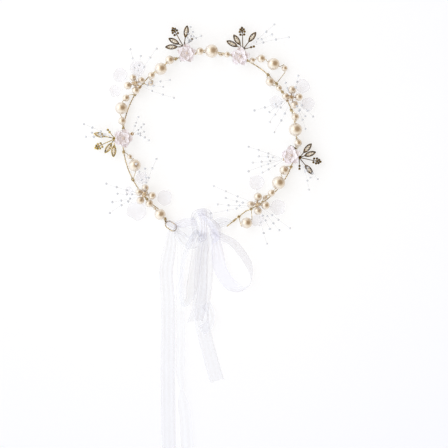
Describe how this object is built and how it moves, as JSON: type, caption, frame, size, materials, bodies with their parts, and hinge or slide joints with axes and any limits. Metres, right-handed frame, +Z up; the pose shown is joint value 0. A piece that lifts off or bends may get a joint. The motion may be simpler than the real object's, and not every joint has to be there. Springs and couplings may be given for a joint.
{
  "type": "bridal flower crown",
  "caption": "Open wire ring for the hair with strung pearls, leaf and flower ornaments, clear petals, bead sprays and a sheer ribbon bow.",
  "frame": {"origin": "middle of the head opening, on the surface that the crown lies on", "axes": "+Z up out of the head opening, +Y from the ribbon bow at the open back to the front of the crown, +X to the right seen from above with the bow nearest"},
  "size_m": [0.2135, 0.3947, 0.0148],
  "materials": {
    "ring_wire": "twisted, satin",
    "thin_wire": "polished",
    "spray": "clear line with frosted beads",
    "pearl": "pearlescent",
    "clear_petal": "clear, glossy",
    "ribbon": "sheer organza",
    "stone": "faceted, bright",
    "sprig": "cast, antique gold",
    "flower": "pearly resin",
    "flower_center": "polished"
  },
  "bodies": {
    "crown": {"base_wire": "ring_wire", "beading_wire": "thin_wire", "spacer_pearls": "pearl", "stem_wires": "thin_wire", "crown_sprays": "spray", "cluster_pearls_1": "pearl", "cluster_pearls_2": "pearl", "cluster_pearls_3": "pearl", "cluster_pearls_4": "pearl", "clear_petals_1": "clear_petal", "clear_petals_2": "clear_petal", "clear_petals_3": "clear_petal", "clear_petals_4": "clear_petal", "ribbon_knot": "ribbon", "ribbon_band_left": "ribbon", "ribbon_band_right": "ribbon", "ribbon_loop_left": "ribbon", "ribbon_loop_right": "ribbon", "ribbon_tail_left": "ribbon", "ribbon_tail_middle": "ribbon", "ribbon_tail_right": "ribbon"},
    "ornament_1": {"sprig_1": "sprig", "sprig_stones_1": "stone", "flower_1": "flower", "flower_center_1": "flower_center", "ornament_spray_1": "spray"},
    "ornament_2": {"sprig_2": "sprig", "sprig_stones_2": "stone", "flower_2": "flower", "flower_center_2": "flower_center", "ornament_spray_2": "spray"},
    "ornament_3": {"sprig_3": "sprig", "sprig_stones_3": "stone", "flower_3": "flower", "flower_center_3": "flower_center", "ornament_spray_3": "spray"},
    "ornament_4": {"sprig_4": "sprig", "sprig_stones_4": "stone", "flower_4": "flower", "flower_center_4": "flower_center", "ornament_spray_4": "spray"},
    "pearl_1": {"pearl_1": "pearl"},
    "pearl_2": {"pearl_2": "pearl"},
    "pearl_3": {"pearl_3": "pearl"},
    "pearl_4": {"pearl_4": "pearl"},
    "pearl_5": {"pearl_5": "pearl"},
    "pearl_6": {"pearl_6": "pearl"},
    "pearl_7": {"pearl_7": "pearl"},
    "pearl_8": {"pearl_8": "pearl"},
    "pearl_9": {"pearl_9": "pearl"},
    "pearl_10": {"pearl_10": "pearl"},
    "pearl_11": {"pearl_11": "pearl"},
    "pearl_12": {"pearl_12": "pearl"},
    "pearl_13": {"pearl_13": "pearl"},
    "pearl_14": {"pearl_14": "pearl"},
    "pearl_15": {"pearl_15": "pearl"},
    "pearl_16": {"pearl_16": "pearl"},
    "pearl_17": {"pearl_17": "pearl"},
    "pearl_18": {"pearl_18": "pearl"}
  },
  "joints": [
    {"name": "pearl_1_spin", "type": "hinge", "parent": "crown", "child": "pearl_1", "pos_m": [-0.05381, -0.05811, 0.00614], "axis": [0.6386, -0.7695, 0.0111], "continuous": true},
    {"name": "pearl_2_spin", "type": "hinge", "parent": "crown", "child": "pearl_2", "pos_m": [-0.04423, -0.06786, 0.00703], "axis": [0.7113, -0.7029, -0.0097], "continuous": true},
    {"name": "pearl_3_spin", "type": "hinge", "parent": "crown", "child": "pearl_3", "pos_m": [-0.06707, -0.02388, 0.0055], "axis": [0.1373, -0.9882, 0.0672], "continuous": true},
    {"name": "pearl_4_spin", "type": "hinge", "parent": "crown", "child": "pearl_4", "pos_m": [-0.07905, 0.02722, 0.0055], "axis": [-0.154, -0.9799, 0.1269], "continuous": true},
    {"name": "pearl_5_spin", "type": "hinge", "parent": "crown", "child": "pearl_5", "pos_m": [-0.07823, 0.01577, 0.00594], "axis": [0.091, -0.9905, -0.1035], "continuous": true},
    {"name": "pearl_6_spin", "type": "hinge", "parent": "crown", "child": "pearl_6", "pos_m": [-0.03553, 0.07034, 0.00674], "axis": [-0.784, -0.566, 0.2548], "continuous": true},
    {"name": "pearl_7_spin", "type": "hinge", "parent": "crown", "child": "pearl_7", "pos_m": [-0.04359, 0.06226, 0.00799], "axis": [-0.7655, -0.6422, -0.0397], "continuous": true},
    {"name": "pearl_8_spin", "type": "hinge", "parent": "crown", "child": "pearl_8", "pos_m": [0.00191, 0.07798, 0.0088], "axis": [-0.9802, 0.1483, 0.1309], "continuous": true},
    {"name": "pearl_9_spin", "type": "hinge", "parent": "crown", "child": "pearl_9", "pos_m": [-0.00849, 0.07814, 0.00626], "axis": [-0.9447, -0.0694, -0.3205], "continuous": true},
    {"name": "pearl_10_spin", "type": "hinge", "parent": "crown", "child": "pearl_10", "pos_m": [0.05727, 0.06682, 0.0055], "axis": [-0.9229, 0.3826, 0.044], "continuous": true},
    {"name": "pearl_11_spin", "type": "hinge", "parent": "crown", "child": "pearl_11", "pos_m": [0.04637, 0.07195, 0.00375], "axis": [-0.9812, 0.187, -0.0481], "continuous": true},
    {"name": "pearl_12_spin", "type": "hinge", "parent": "crown", "child": "pearl_12", "pos_m": [0.05424, 0.05093, 0.00535], "axis": [-0.614, 0.7813, -0.1121], "continuous": true},
    {"name": "pearl_13_spin", "type": "hinge", "parent": "crown", "child": "pearl_13", "pos_m": [0.07929, -0.00393, 0.00609], "axis": [-0.0355, 0.9556, 0.2924], "continuous": true},
    {"name": "pearl_14_spin", "type": "hinge", "parent": "crown", "child": "pearl_14", "pos_m": [0.0768, 0.0078, 0.00876], "axis": [-0.1068, 0.9943, 0.0025], "continuous": true},
    {"name": "pearl_15_spin", "type": "hinge", "parent": "crown", "child": "pearl_15", "pos_m": [0.07678, 0.01943, 0.00614], "axis": [-0.1694, 0.9486, -0.2675], "continuous": true},
    {"name": "pearl_16_spin", "type": "hinge", "parent": "crown", "child": "pearl_16", "pos_m": [0.06171, -0.03972, 0.00815], "axis": [0.484, 0.8735, -0.0522], "continuous": true},
    {"name": "pearl_17_spin", "type": "hinge", "parent": "crown", "child": "pearl_17", "pos_m": [0.06688, -0.02823, 0.00452], "axis": [0.6039, 0.7615, -0.2354], "continuous": true},
    {"name": "pearl_18_spin", "type": "hinge", "parent": "crown", "child": "pearl_18", "pos_m": [0.03327, -0.0756, 0.005], "axis": [0.8448, 0.5351, 0], "continuous": true},
    {"name": "ornament_1_tilt", "type": "hinge", "parent": "crown", "child": "ornament_1", "pos_m": [-0.078, 0, 0.0016], "axis": [0, 1, 0], "range_deg": [-4, 20]},
    {"name": "ornament_2_tilt", "type": "hinge", "parent": "crown", "child": "ornament_2", "pos_m": [-0.02098, 0.07513, 0.0016], "axis": [0.9632, 0.2689, 0], "range_deg": [-4, 20]},
    {"name": "ornament_3_tilt", "type": "hinge", "parent": "crown", "child": "ornament_3", "pos_m": [0.02744, 0.07301, 0.0016], "axis": [0.9361, -0.3518, 0], "range_deg": [-4, 20]},
    {"name": "ornament_4_tilt", "type": "hinge", "parent": "crown", "child": "ornament_4", "pos_m": [0.07612, -0.01599, 0.0016], "axis": [-0.2317, -0.9728, 0], "range_deg": [-4, 20]}
  ]
}
